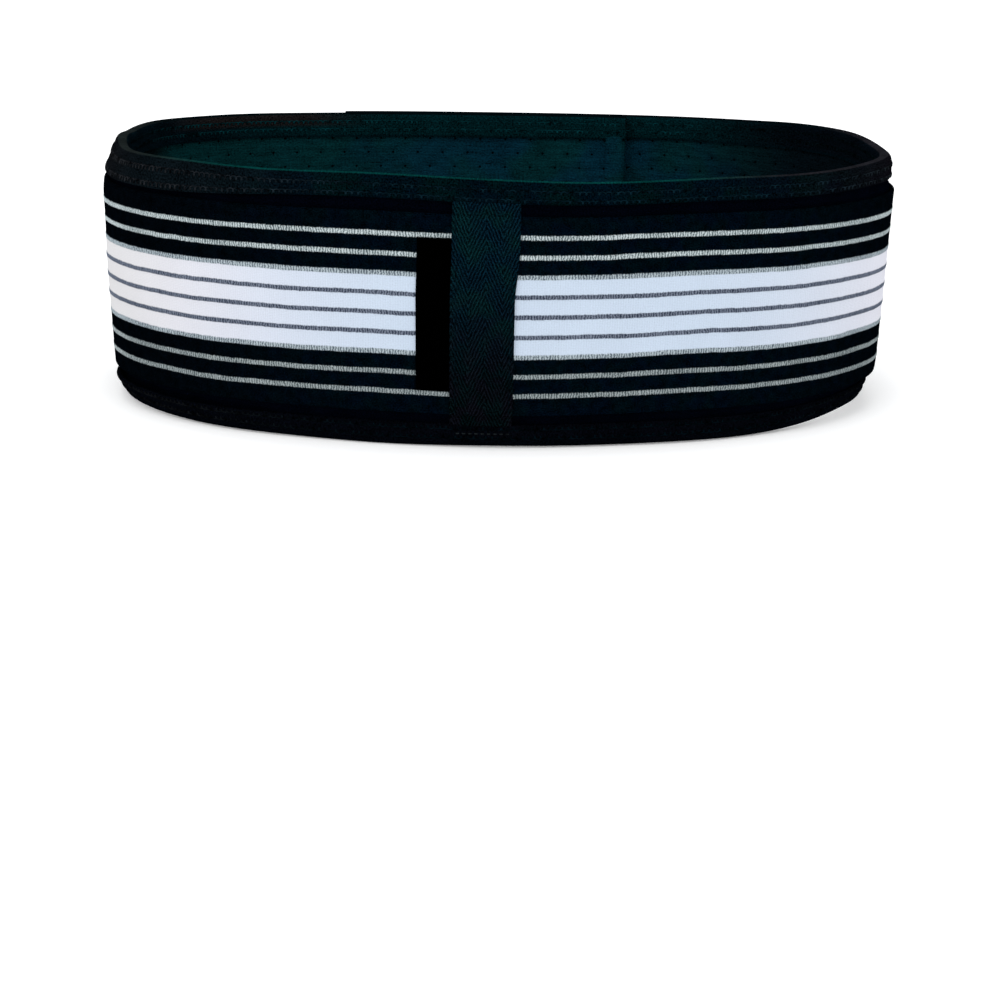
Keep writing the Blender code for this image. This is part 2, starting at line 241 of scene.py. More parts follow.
class Look:
    """A procedural material in millimetres: s along the belt, z up from mid height, and out."""

    def __init__(self, name, roughness, specular=0.0):
        self.material = bpy.data.materials.new(name)
        self.material.use_nodes = True
        self.tree = self.material.node_tree
        self.shader = self.tree.nodes["Principled BSDF"]
        self.shader.inputs["Roughness"].default_value = roughness
        self.shader.inputs["Specular IOR Level"].default_value = specular
        cloth = self.node("ShaderNodeAttribute")
        cloth.attribute_name = "cloth"
        parts = self.node("ShaderNodeSeparateXYZ")
        self.tree.links.new(cloth.outputs["Vector"], parts.inputs[0])
        self.s, self.z, self.out = parts.outputs

    def node(self, kind):
        return self.tree.nodes.new(kind)

    def feed(self, socket, value):
        if isinstance(value, bpy.types.NodeSocket):
            self.tree.links.new(value, socket)
        else:
            socket.default_value = value

    def math(self, operation, *values):
        made = self.node("ShaderNodeMath")
        made.operation = operation
        for socket, value in zip(made.inputs, values):
            self.feed(socket, value)
        return made.outputs[0]

    def add(self, a, b):
        return self.math("ADD", a, b)

    def times(self, a, b):
        return self.math("MULTIPLY", a, b)

    def step(self, value, low, high):
        """0 below low and 1 above high, smooth between; low may be the larger."""
        made = self.node("ShaderNodeMapRange")
        made.interpolation_type = "SMOOTHSTEP"
        self.feed(made.inputs["Value"], value)
        self.feed(made.inputs["From Min"], low)
        self.feed(made.inputs["From Max"], high)
        return made.outputs["Result"]

    def wave(self, value, period, shift=0.0):
        """Sine of value with this period, from -1 to 1."""
        turned = self.math("MULTIPLY_ADD", value, 2 * math.pi / period, shift)
        return self.math("SINE", turned)

    def point(self, x, y):
        made = self.node("ShaderNodeCombineXYZ")
        self.feed(made.inputs["X"], x)
        self.feed(made.inputs["Y"], y)
        return made.outputs[0]

    def noise(self, scale, detail=2.0, stretch=1.0):
        """Noise from -0.5 to 0.5 over the cloth; stretch lengthens its grains along the belt."""
        made = self.node("ShaderNodeTexNoise")
        made.inputs["Scale"].default_value = scale
        made.inputs["Detail"].default_value = detail
        self.feed(made.inputs["Vector"], self.point(self.math("DIVIDE", self.s, stretch), self.z))
        return self.math("SUBTRACT", made.outputs["Fac"], 0.5)

    def both(self, value, low, high, soft):
        """1 between low and high and 0 outside, over a soft width at each."""
        return self.times(self.step(value, low - soft, low + soft),
                          self.step(value, high + soft, high - soft))

    def weighted(self, *parts, start=0.0):
        """Start plus each value times its amount, for (value, amount) pairs."""
        for value, amount in parts:
            start = self.add(start, self.times(value, amount))
        return start

    def grain(self, *parts):
        """1, varied by (value, amount) pairs, and never below a tenth."""
        return self.math("MAXIMUM", self.weighted(*parts, start=1.0), 0.1)

    def blend(self, share, first, second):
        """First colour where share is 0 and second where it is 1."""
        made = self.node("ShaderNodeMix")
        made.data_type = "RGBA"
        self.feed(made.inputs["Factor"], share)
        colours = [socket for socket in made.inputs if socket.type == "RGBA"]
        for socket, value in zip(colours, (first, second)):
            self.feed(socket, (*value, 1.0) if isinstance(value, tuple) else value)
        return next(socket for socket in made.outputs if socket.type == "RGBA")

    def mottled(self, scale, first, second, low=-0.1):
        """Two colours in soft patches; a larger scale makes the patches smaller."""
        return self.blend(self.step(self.noise(scale), low, 0.12), first, second)

    def along(self, tone, *changes):
        """Changes a tone to each (start, end, colour) in turn, from start to end along the belt."""
        for start, end, colour in changes:
            tone = self.blend(self.step(self.s, start, end), tone, colour)
        return tone

    def zones(self, tone, share, *zones):
        """Changes a tone by a share in each zone (low, high, soft width, colour) along the belt."""
        for low, high, soft, colour in zones:
            tone = self.blend(self.times(share, self.both(self.s, low, high, soft)), tone, colour)
        return tone

    def tint(self, colour, factor):
        """Colour made lighter or darker by a factor that varies over the cloth."""
        made = self.node("ShaderNodeVectorMath")
        made.operation = "SCALE"
        self.feed(made.inputs[0], colour)
        self.feed(made.inputs["Scale"], factor)
        return made.outputs[0]

    def finish(self, colour, height, shade=1.0):
        """Links the colour made lighter or darker by shade, and a height in millimetres as bump."""
        self.feed(self.shader.inputs["Base Color"], self.tint(colour, shade))
        bump = self.node("ShaderNodeBump")
        bump.inputs["Distance"].default_value = MM
        bump.inputs["Strength"].default_value = 1.0
        self.feed(bump.inputs["Height"], height)
        self.tree.links.new(bump.outputs["Normal"], self.shader.inputs["Normal"])
        return self.material


# The elastic's lines, in millimetres, and its colours
STRIPE_PITCH = 7.5
STRIPE_HALF = 0.85
WHITE_HALF = 15.0
PICK_PERIOD = 1.05
WHITE_MIDDLE = (0.472, 0.545, 0.645)
# Painted light: a lighter, less blue white towards the strap's ends, and a lighter neutral white on the
# left
WHITE_LIT_ENDS = (0.600, 0.598, 0.655)
WHITE_LIT_LEFT = (0.575, 0.568, 0.575)
BLACK_BLUE = (0.0003, 0.0018, 0.0043)
BLACK_GREEN = (0.0003, 0.0022, 0.0034)
# Painted light: a darker, less blue black towards the strap's ends
BLACK_ENDS = (0.0004, 0.0010, 0.0018)


def elastic_look():
    """Woven elastic: white middle, black sides, and nine lines of alternate black and white picks."""
    look = Look("striped_elastic", roughness=0.9)
    drift = look.weighted((look.noise(0.03), 1.2), (look.noise(0.25), 0.45))
    level = look.add(look.z, drift)
    frayed = look.add(level, look.times(look.noise(1.5, detail=3.0, stretch=0.6), 0.8))
    line = look.math("ROUND", look.math("DIVIDE", level, STRIPE_PITCH))
    number = look.math("ABSOLUTE", line)
    border = look.both(number, 1.5, 2.5, 0.1)
    in_white = look.step(number, 1.7, 1.3)
    offset = look.math("SUBTRACT", frayed, look.times(line, STRIPE_PITCH))
    share = look.math("DIVIDE", look.math("ABSOLUTE", offset), STRIPE_HALF)
    line_share = look.times(look.step(share, 1.3, 0.75), look.math("LESS_THAN", number, 4.5))
    white_share = look.step(look.math("ABSOLUTE", frayed), WHITE_HALF + 0.15, WHITE_HALF - 0.15)

    warp = look.wave(look.z, 0.62)
    weft = look.wave(look.s, 0.95)
    ribs = look.wave(look.add(look.s, look.times(look.noise(0.4), 0.8)), 2.6)
    fuzz = look.noise(2.4, detail=3.0, stretch=1.4)
    slow = look.noise(0.05)
    # Painted light: the white and the black change tone towards the strap's ends, and the white turns a
    # lighter neutral on the left
    end = look.step(look.math("ABSOLUTE", look.add(look.s, -20.0)), 50.0, 175.0)
    white = look.blend(end, WHITE_MIDDLE, WHITE_LIT_ENDS)
    white = look.along(white, (-90.0, -190.0, WHITE_LIT_LEFT))
    white = look.tint(white, look.grain((warp, 0.02), (weft, 0.025), (fuzz, 0.35), (slow, 0.08)))
    tone = look.mottled(0.12, BLACK_BLUE, BLACK_GREEN, low=-0.12)
    tone = look.blend(end, tone, BLACK_ENDS)
    black = look.tint(tone, look.grain((fuzz, 6.5), (look.noise(0.3), 2.2), (warp, 0.1)))
    ground = look.blend(white_share, black, white)

    waver = look.weighted((look.noise(0.7), 1.6), (look.noise(0.2), 1.5))
    pick = look.wave(look.add(look.s, waver), PICK_PERIOD)
    picked = look.weighted((pick, 0.7), (look.noise(1.9, detail=3.0), 3.2))
    # Painted light: the lines' picks and the pale lines are lighter towards the left end
    left = look.step(look.s, -150.0, -215.0)
    bias = look.weighted((look.noise(0.05), 1.2), (left, 0.6))
    light = look.step(look.add(picked, bias), -1.0, 1.0)
    dark_line = look.blend(light, (0.018, 0.025, 0.043), (0.155, 0.178, 0.228))
    pale_line = look.blend(light, (0.07, 0.095, 0.10), (0.48, 0.54, 0.55))
    lower = look.times(look.step(look.z, -10.0, -20.0), -0.38)
    pale_line = look.tint(pale_line, look.add(1.0, look.add(lower, look.times(left, 0.35))))
    border_line = look.blend(light, (0.07, 0.09, 0.11), (0.38, 0.44, 0.47))
    stitched = look.blend(in_white, pale_line, dark_line)
    stitched = look.blend(border, stitched, border_line)
    colour = look.blend(line_share, ground, stitched)
    height = look.weighted((warp, 0.018), (weft, 0.02), (ribs, 0.015), (fuzz, 0.12),
                           (look.times(picked, line_share), 0.05))
    return look.finish(colour, height)


def brushed_look():
    """Brushed loop fabric of the belt's outside, nearly black."""
    look = Look("brushed_loop_fabric", roughness=0.95)
    fuzz = look.noise(1.6, detail=4.0)
    nap = look.noise(0.12, detail=3.0, stretch=1.6)
    shade = look.grain((fuzz, 4.5), (nap, 1.5))
    front = look.step(look.math("ABSOLUTE", look.s), 215.0, 290.0)
    tone = look.blend(front, (0.0004, 0.0008, 0.0024), (0.0020, 0.0032, 0.0046))
    return look.finish(tone, look.times(fuzz, 0.35), shade)


def lining_look(name="ribbed_lining", holes=True):
    """Ribbed lining with a teal cast, dark in its holes."""
    look = Look(name, roughness=0.95)
    knit = look.wave(look.add(look.s, look.times(look.noise(0.6), 1.2)), 1.05)
    level = look.add(look.z, look.times(look.noise(0.12), 2.0))
    rib = look.wave(look.add(level, look.times(knit, 0.12)), 1.3)
    fuzz = look.noise(1.7, detail=4.0, stretch=1.6)
    streaks = look.noise(0.5, detail=3.0, stretch=5.0)
    nap = look.noise(0.03, detail=3.0)
    shade = look.grain((rib, 0.08), (knit, 0.06), (fuzz, 3.2), (streaks, 1.6), (nap, 0.6))
    tone = look.mottled(0.04, (0.0013, 0.0165, 0.0285), (0.0013, 0.0185, 0.0215))
    # Painted shade: the lining darker where it turns the corners at the sides; the zone from -380 to
    # -150 only gives it a less blue teal
    tone = look.zones(tone, 1.0, (120.0, 330.0, 50.0, (0.0013, 0.0034, 0.0050)),
                      (-380.0, -150.0, 60.0, (0.0012, 0.0180, 0.0200)),
                      (-274.0, -150.0, 12.0, (0.0010, 0.0028, 0.0034)))
    if holes:
        tone = look.blend(look.step(look.out, -6.88, -6.7), tone, (0.0003, 0.0008, 0.0016))
    height = look.weighted((rib, 0.05), (knit, 0.03), (fuzz, 0.25))
    return look.finish(tone, height, shade)


def binding_look():
    """Soft woven binding, dark teal at the top and nearly black low down, with a painted highlight
    along its fold.
    """
    look = Look("binding_cloth", roughness=0.95)
    rib = look.wave(look.s, 0.7)
    fuzz = look.noise(1.5, detail=4.0)
    nap = look.noise(0.09, detail=3.0)
    tone = look.mottled(0.07, (0.0003, 0.0029, 0.0057), (0.0003, 0.0043, 0.0050))
    tone = look.along(tone, (-50.0, -130.0, (0.0020, 0.0039, 0.0053)),
                      (-140.0, -195.0, (0.0036, 0.0042, 0.0052)),
                      (70.0, 200.0, (0.0028, 0.0024, 0.0036)))
    tone = look.blend(look.step(look.z, -20.0, 20.0), (0.0009, 0.0013, 0.0025), tone)
    inner = look.step(look.out, -5.4, -7.4)
    tone = look.blend(inner, tone, (0.0005, 0.0100, 0.0120))
    # Painted shade: the inner leg darker at the two sides, where the wall turns
    tone = look.zones(tone, inner, (150.0, 330.0, 40.0, (0.0010, 0.0024, 0.0040)),
                      (-325.0, -150.0, 45.0, (0.0008, 0.0033, 0.0050)))
    # Painted highlight: a paler brownish band along the top of the inner leg on the far left
    tone = look.zones(tone, look.times(inner, look.step(look.z, 45.0, 47.0)),
                      (-372.0, -290.0, 22.0, (0.0075, 0.0064, 0.0066)))
    # Painted shadow: a dark line on the inner leg just above its free edge, where it meets the lining
    hem_shadow = look.times(inner, look.both(look.z, 39.5, 41.6, 0.5))
    tone = look.blend(look.times(hem_shadow, 0.75), tone, (0.0003, 0.0030, 0.0045))
    # Painted highlight: a thin paler line along the fold's crown, teal across the back, grey at the
    # left and right, and dark round the front
    fold = look.along((0.0090, 0.0120, 0.0120), (-160.0, -100.0, (0.0010, 0.0300, 0.0285)),
                      (55.0, 115.0, (0.0100, 0.0100, 0.0125)))
    front = look.step(look.math("ABSOLUTE", look.s), 230.0, 290.0)
    fold = look.blend(front, fold, (0.0004, 0.0022, 0.0030))
    crown_highlight = look.times(look.step(look.z, 49.4, 50.2), look.both(look.out, -7.3, -3.9, 0.25))
    tone = look.blend(crown_highlight, tone, fold)
    height = look.weighted((rib, 0.03), (fuzz, 0.3))
    rough = look.times(fuzz, look.add(1.0, look.times(crown_highlight, -0.6)))
    shade = look.grain((rib, 0.12), (rough, 6.5), (nap, 1.4))
    return look.finish(tone, height, shade)


TWILL_COLUMN = 6.25  # width of each column of diagonals
TWILL_SLOPE = 2.3
TWILL_PERIOD = 2.9  # between diagonals, up the tape


def twill_look():
    """Herringbone twill: steep diagonals that turn at the middle and at each quarter."""
    look = Look("herringbone_twill", roughness=0.9)
    across = look.math("SUBTRACT", look.s, TAPE_CENTRE / MM)
    folded = look.math("PINGPONG", look.add(across, 4 * TWILL_COLUMN), TWILL_COLUMN)
    slanted = look.add(look.times(folded, TWILL_SLOPE), look.z)
    slanted = look.add(slanted, look.times(look.noise(0.45), 2.4))
    rib = look.add(look.times(look.step(look.wave(slanted, TWILL_PERIOD), -0.4, 1.0), 2.0), -0.8)
    fuzz = look.noise(2.0, detail=4.0)
    nap = look.noise(0.1, detail=3.0)
    shade = look.grain((rib, 0.85), (fuzz, 11.0), (nap, 2.0))
    upper = look.mottled(0.1, (0.0008, 0.0058, 0.0107), (0.0008, 0.0068, 0.0081))
    lower = look.mottled(0.16, (0.0018, 0.0021, 0.0035), (0.0007, 0.0027, 0.0032))
    tone = look.blend(look.step(look.z, -34.0, 26.0), lower, upper)
    height = look.weighted((rib, 0.06), (fuzz, 0.15))
    return look.finish(tone, height, shade)


def label_look():
    look = Look("black_label_satin", roughness=0.9)
    thread = look.wave(look.s, 0.4)
    fuzz = look.noise(2.2, detail=2.0)
    shade = look.grain((thread, 0.15), (fuzz, 0.5))
    return look.finish((0.00006, 0.00006, 0.00008), look.times(thread, 0.012), shade)


def foam_look():
    look = Look("black_foam", roughness=0.95, specular=0.05)
    cells = look.noise(1.2, detail=5.0)
    return look.finish((0.006, 0.007, 0.008), look.times(cells, 0.4), look.grain((cells, 1.0)))


def thread_look(name, middle, ends, reach=(60.0, 180.0)):
    """Black thread; its tone changes away from the middle of the back, and it is darker low down."""
    look = Look(name, roughness=0.8)
    twist = look.wave(look.add(look.s, look.z), 0.5)
    away = look.math("ABSOLUTE", look.add(look.s, -30.0))
    tone = look.blend(look.step(away, *reach), middle, ends)
    low = look.add(0.35, look.times(look.step(look.z, -40.0, 10.0), 0.65))
    shade = look.times(look.grain((twist, 0.2), (look.noise(0.35, detail=3.0), 6.0)), low)
    return look.finish(tone, look.times(twist, 0.03), shade)


def hook_look():
    look = Look("hook_tape", roughness=0.6, specular=0.15)
    weave = look.times(look.wave(look.s, 0.8), look.wave(look.z, 0.8))
    fuzz = look.noise(0.9, detail=3.0)
    shade = look.grain((weave, 0.2), (fuzz, 0.5))
    return look.finish((0.006, 0.007, 0.008), look.times(weave, 0.05), shade)


LOOKS = {
    "striped_elastic": elastic_look(),
    "outer_fabric": brushed_look(),
    "lining": lining_look(),
    "end_lining": lining_look("lining_end_tape", holes=False),
    "binding": binding_look(),
    "twill_tape": twill_look(),
    "label_cloth": label_look(),
    "foam": foam_look(),
    "hook_tape": hook_look(),
    "seam_thread": thread_look("black_seam_thread", (0.0016, 0.0072, 0.0112), (0.0085, 0.0095, 0.0110)),
    "pale_thread": thread_look("dark_grey_thread", (0.024, 0.031, 0.035), (0.024, 0.031, 0.035)),
    "inner_thread": thread_look("black_lining_thread", (0.0008, 0.0028, 0.0038),
                                (0.0010, 0.0190, 0.0230), reach=(270.0, 340.0)),
}


# ---- Mesh pieces ----

def stops(*legs):
    """Increasing stops along legs that join, each (start, end, largest step)."""
    made = [np.linspace(a, b, max(1, math.ceil((b - a) / size)) + 1) for a, b, size in legs]
    return np.unique(np.concatenate(made).round(9))


def make_piece(name, points, faces, cloth, look, sharp):
    """Mesh object of these points and faces, with a named look and the cloth's own millimetres."""
    mesh = bpy.data.meshes.new(name)
    mesh.from_pydata(points, [], faces)
    attribute = mesh.attributes.new("cloth", "FLOAT_VECTOR", "POINT")
    attribute.data.foreach_set("vector", cloth.astype(np.float32).ravel())
    mesh.update()
    mesh.shade_smooth()
    mesh.set_sharp_from_angle(angle=math.radians(sharp))
    mesh.materials.append(LOOKS[look])
    piece = bpy.data.objects.new(name, mesh)
    bpy.context.scene.collection.objects.link(piece)
    return piece


def laid_out(along, out, up):
    """World points for these distances, and the same points in the cloth's own millimetres."""
    along, out, up = spread(along, out, up)
    cloth = np.stack([along / MM, (up - MID_HEIGHT) / MM, out / MM], -1)
    return place(along, out, up), cloth


def closed_sheet(name, face, back, look, sharp=40):
    """Closed solid between an outer and an inner grid, each (along, out, up) arrays that broadcast.

    Columns run towards greater along and rows upwards on the outer side."""
    (face_points, face_cloth), (back_points, back_cloth) = laid_out(*face), laid_out(*back)
    columns, rows = face_points.shape[:2]
    front = np.arange(columns * rows).reshape(columns, rows)
    rear = front + columns * rows

    def quads(grid):
        return np.stack([grid[:-1, :-1], grid[1:, :-1], grid[1:, 1:], grid[:-1, 1:]], -1).reshape(-1, 4)

    edge = np.concatenate([front[:, 0], front[-1, 1:], front[-2::-1, -1], front[0, -2:0:-1]])
    ahead = np.roll(edge, -1)
    rim = np.stack([ahead, edge, edge + columns * rows, ahead + columns * rows], -1)
    faces = np.concatenate([quads(front), quads(rear)[:, ::-1], rim])
    points = np.concatenate([face_points.reshape(-1, 3), back_points.reshape(-1, 3)])
    cloth = np.concatenate([face_cloth.reshape(-1, 3), back_cloth.reshape(-1, 3)])
    return make_piece(name, points, faces.tolist(), cloth, look, sharp)


def thread(name, runs, look, radius=0.19 * MM, sides=6):
    """Round lengths of thread or wire, each along equally many (along, out, up) points."""
    runs = np.asarray(runs, float)
    count, stops_each = runs.shape[:2]
    path, cloth = laid_out(runs[..., 0], runs[..., 1], runs[..., 2])
    ahead = np.gradient(path, axis=1)
    ahead /= np.linalg.norm(ahead, axis=-1, keepdims=True)
    facing = place(runs[..., 0], runs[..., 1] + MM, runs[..., 2]) - path
    upwards = place(runs[..., 0] + MM, runs[..., 1], runs[..., 2]) - path
    steep = np.abs((ahead * facing).sum(-1, keepdims=True)) > 0.7 * MM
    side = np.cross(ahead, np.where(steep, upwards, facing))
    side /= np.linalg.norm(side, axis=-1, keepdims=True)
    lift = np.cross(side, ahead)
    turn = np.linspace(0, 2 * np.pi, sides, endpoint=False)
    ring_side, ring_lift = np.cos(turn)[:, None], np.sin(turn)[:, None]
    tube = path[:, :, None] + radius * (ring_side * side[:, :, None] + ring_lift * lift[:, :, None])
    grid = np.arange(count * stops_each * sides).reshape(count, stops_each, sides)
    onward = np.roll(grid, -1, axis=2)
    walls = np.stack([grid[:, :-1], onward[:, :-1], onward[:, 1:], grid[:, 1:]], -1).reshape(-1, 4)
    caps = np.concatenate([grid[:, 0, ::-1], grid[:, -1]])
    return make_piece(name, tube.reshape(-1, 3), walls.tolist() + caps.tolist(),
                      np.repeat(cloth.reshape(-1, 3), sides, 0), look, sharp=80)


# For each fold: the body that moves, the fold's place along and out, and where the cloth turns
FOLDS = {
    "flap_fold": ("closure_flap", FLAP_HINGE, HINGE_OUT, FLAP_FOLD),
    "right_fold": ("right_tab", TAB_HINGE, HOOK_STAND, TAB_FOLD),
    "left_fold": ("left_tab", -TAB_HINGE, HOOK_STAND, TAB_FOLD),
}


def finish_piece(piece, body, slot, *nodes):
    """Ties a piece to its body and hides the CAD nodes it stands for; slot is not used.

    A piece with a fold is tied to no body; its placement is only baked into its mesh."""
    if body in FOLDS:
        moving, hinge, out, (before, after) = FOLDS[body]
        here = Vector(place(hinge, out, MID_HEIGHT))
        ahead = Vector(place(hinge + math.copysign(MM, hinge), out, MID_HEIGHT)) - here
        ahead.normalize()
        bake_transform(piece)
    else:
        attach(piece, body)
    if nodes:
        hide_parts(*nodes)
    return piece


# ---- The belt's laminate ----

SWELL = 3.4 * MM  # over which the laminate swells from pinched to full
LAMINATE_INSET = 1.8 * MM
HAIR = 0.01 * MM  # left between the belt's and the flap's lengths of one piece
PINCHED_FABRIC = 0.6 * MM


def pinch(along, up):
    """1 where the laminate is pinched under a binding, and 0 where it is full."""
    low = 1 - smooth((up - REACH) / SWELL)
    high = smooth((up - (BELT_HEIGHT - REACH - SWELL)) / SWELL)
    flap_end = smooth((along - (FLAP_END - REACH - SWELL)) / SWELL)
    under_end = smooth((UNDERLAP_END + REACH + SWELL - along) / SWELL)
    return np.maximum(np.maximum(low, high), np.maximum(flap_end, under_end))


def fabric_face(along, up):
    return mix(FABRIC_FACE, PINCHED_FACE, pinch(along, up))


def fabric_back(along, up):
    return fabric_face(along, up) - mix(FABRIC_THICKNESS, PINCHED_FABRIC, pinch(along, up))


class Length:
    """One length of the belt's laminate: the loop itself, or the closing flap."""

    def __init__(self, name, cad_name, start, end, body):
        self.name, self.cad_name, self.body = name, cad_name, body
        self.start, self.end = start, end
        self.low = start + (LAMINATE_INSET if start == UNDERLAP_END else HAIR)
        self.high = end - (LAMINATE_INSET if end == FLAP_END else HAIR)

    def columns(self, size):
        """Stops along the laminate, closer together where it swells at a free end."""
        swell = 2 * REACH
        legs = [(self.low, self.low + swell, MM), (self.low + swell, self.high - swell, size),
                (self.high - swell, self.high, MM)]
        return stops(*legs)[:, None]


BELT = Length("belt", "base", UNDERLAP_END, FLAP_PIECE_START, "belt")
FLAP = Length("flap", "flap", FLAP_PIECE_START, FLAP_END, "flap_fold")


def laminate_rows():
    low, high = REACH + SWELL, BELT_HEIGHT - REACH - SWELL
    return stops((2 * MM, REACH, 1.5 * MM), (REACH, low, 0.5 * MM), (low, high, 4 * MM),
                 (high, high + SWELL, 0.5 * MM), (high + SWELL, BELT_HEIGHT - 2 * MM, 1.5 * MM))


def build_outer_cloth(part):
    along, up = part.columns(3 * MM), laminate_rows()[None]
    piece = closed_sheet(f"{part.name}_outer_cloth", (along, fabric_face(along, up), up),
                         (along, fabric_back(along, up), up), "outer_fabric")
    finish_piece(piece, part.body, "outer_fabric", f"{part.cad_name}_outer_fabric")


def build_foam(part):
    along, up = part.columns(4 * MM), laminate_rows()[None]
    edge = np.minimum(up - 2 * MM, BELT_HEIGHT - 2 * MM - up)
    rounding = 0.25 * MM * (1 - smooth(edge / (3 * MM)))
    face = fabric_back(along, up) - CLEARANCE - rounding
    piece = closed_sheet(f"{part.name}_foam", (along, face, up), (along, FOAM_BACK + rounding, up),
                         "foam")
    finish_piece(piece, part.body, "foam", f"{part.cad_name}_foam_core")


HOLE_STEP = 2.875 * MM  # columns of the lining's mesh, four to a hole
HOLE_RISE = 3.25 * MM
HOLE_RADIUS = 0.6 * MM
HOLE_DEPTH = 0.55 * MM


def build_lining(part):
    """Lining with staggered rows of small blind holes in its inner side."""
    first, last = math.ceil(part.low / HOLE_STEP + 0.5), math.floor(part.high / HOLE_STEP - 0.5)
    column_number = np.arange(first, last + 1)
    along = np.concatenate([[part.low], column_number * HOLE_STEP, [part.high]])
    numbers = np.concatenate([[first - 1], column_number, [last + 1]])
    row_number = np.arange(-14, 15)
    up = MID_HEIGHT + 1 * MM + row_number * HOLE_RISE
    piece = closed_sheet(f"{part.name}_lining", (along[:, None], LINING_FACE, up[None]),
                         (along[:, None], LINING_BACK, up[None]), "lining")
    holed = [(i, j) for i in range(1, len(along) - 1) for j in range(1, len(up) - 1)
             if (numbers[i] % 4, row_number[j] % 4) in ((0, 0), (2, 2))]
    punch(piece, along, up, holed)
    finish_piece(piece, part.body, "lining", f"{part.cad_name}_inner_lining")


def punch(piece, along, up, holed):
    """Turns these points of a lining's inner grid into round holes."""
    mesh = bmesh.new()
    mesh.from_mesh(piece.data)
    layer = mesh.verts.layers.float_vector["cloth"]
    inner = np.array(mesh.verts[:], object)[len(along) * len(up):].reshape(len(along), len(up))
    around = [(-1, -1), (0, -1), (1, -1), (1, 0), (1, 1), (0, 1), (-1, 1), (-1, 0)]
    for i, j in holed:
        centre = inner[i, j]
        outer = [inner[i + di, j + dj] for di, dj in around]
        bmesh.ops.delete(mesh, geom=centre.link_faces[:], context="FACES_ONLY")
        rings = []
        for out, radius in ((LINING_BACK, HOLE_RADIUS), (LINING_BACK + HOLE_DEPTH, 0.8 * HOLE_RADIUS)):
            turn = np.array([math.atan2(dj, di) for di, dj in around])
            points, cloth = laid_out(along[i] + radius * np.cos(turn), out,
                                     up[j] + radius * np.sin(turn))
            ring = [mesh.verts.new(p) for p in points]
            for vert, values in zip(ring, cloth):
                vert[layer] = values
            rings.append(ring)
        centre.co = place(along[i], LINING_BACK + HOLE_DEPTH, up[j])
        for low, high in ((outer, rings[0]), (rings[0], rings[1])):
            for k in range(8):
                mesh.faces.new((low[k - 1], high[k - 1], high[k], low[k])).smooth = True
        for k in range(8):
            mesh.faces.new((rings[1][k - 1], centre, rings[1][k])).smooth = True
    bmesh.ops.recalc_face_normals(mesh, faces=mesh.faces)
    mesh.to_mesh(piece.data)
    mesh.free()


# ---- Bindings and their stitches ----

FOLD_DEPTH = 2.3 * MM  # height of a binding's rounded fold
LOOP_STEP = 2.35 * MM  # between the small loops of a seam
LOOP_NEAR = 7.6 * MM  # how deep below the edge the two rows of loops lie
LOOP_FAR = 4.0 * MM
LOOP_RADIUS = 0.72 * MM
TAPE_STAND = 0.9 * MM
LONGER_AT_SIDES = 2.8 * MM
FLUSH_AT_SIDES = 2.5 * MM
THREAD_RADIUS = 0.23 * MM
FOLD_MIDDLE = (BINDING_FACE + BINDING_BACK) / 2
FOLD_HALF = (BINDING_FACE - BINDING_BACK) / 2


def over_tape(along):
    """1 where an outer leg passes over the centre tape, and 0 away from it."""
    return smooth((TAPE_HALF + 3 * MM - np.abs(along - TAPE_CENTRE)) / (3 * MM))


def at_sides(along):
    """How far the bindings lie over the straps' edges: 1 at the left side, a quarter at the right."""
    left = smooth((-along - 70 * MM) / (70 * MM)) * (1 - smooth((-along - 235 * MM) / (30 * MM)))
    right = smooth((along - 150 * MM) / (45 * MM)) * (1 - smooth((along - 235 * MM) / (30 * MM)))
    return left + 0.25 * right


def leg_puff(along, depth):
    """How far an outer leg stands proud: a soft roll, dimpled at the stitches, and over the tape."""
    roll = 0.35 * MM * np.sin(np.pi * np.clip(depth / REACH, 0, 1)) ** 0.7
    lip = 0.25 * MM * smooth((depth - LOOP_NEAR - 0.3 * MM) / (0.9 * MM))
    dimple = np.cos(2 * np.pi * along / LOOP_STEP)
    sewn = np.exp(-(((depth - LOOP_NEAR) / (1.0 * MM)) ** 2)) * dimple
    sewn = sewn - np.exp(-(((depth - LOOP_FAR) / (1.0 * MM)) ** 2)) * dimple
    bulge = TAPE_STAND * over_tape(along) * smooth((depth - 1 * MM) / (4 * MM))
    flush = FLUSH_AT_SIDES * at_sides(along) * smooth((depth - 1.5 * MM) / (7 * MM))
    return roll - lip + 0.12 * MM * sewn + bulge + flush


def depth_below(along, depth, edge):
    """Depth below the edge of a point of an outer leg; the top one is longer at the sides."""
    longer = LONGER_AT_SIDES * at_sides(along) * (edge == "top")
    return depth + longer * smooth((depth - FOLD_DEPTH) / (REACH - FOLD_DEPTH))


def fold_section(outer, inner, depth, wall, flip, turns=11):
    """Rows of a folded binding: side (1 outer leg, -1 inner), and depth on its two surfaces."""
    turn = np.linspace(0, np.pi, turns)
    rounded = 1 - np.sin(turn)
    side = np.concatenate([np.ones(len(outer)), np.cos(turn), -np.ones(len(inner))])
    face = np.concatenate([outer, depth * rounded, inner])
    back = np.concatenate([outer, wall + (depth - wall) * rounded, inner])
    return [rows[::-1] if flip else rows for rows in (side, face, back)]


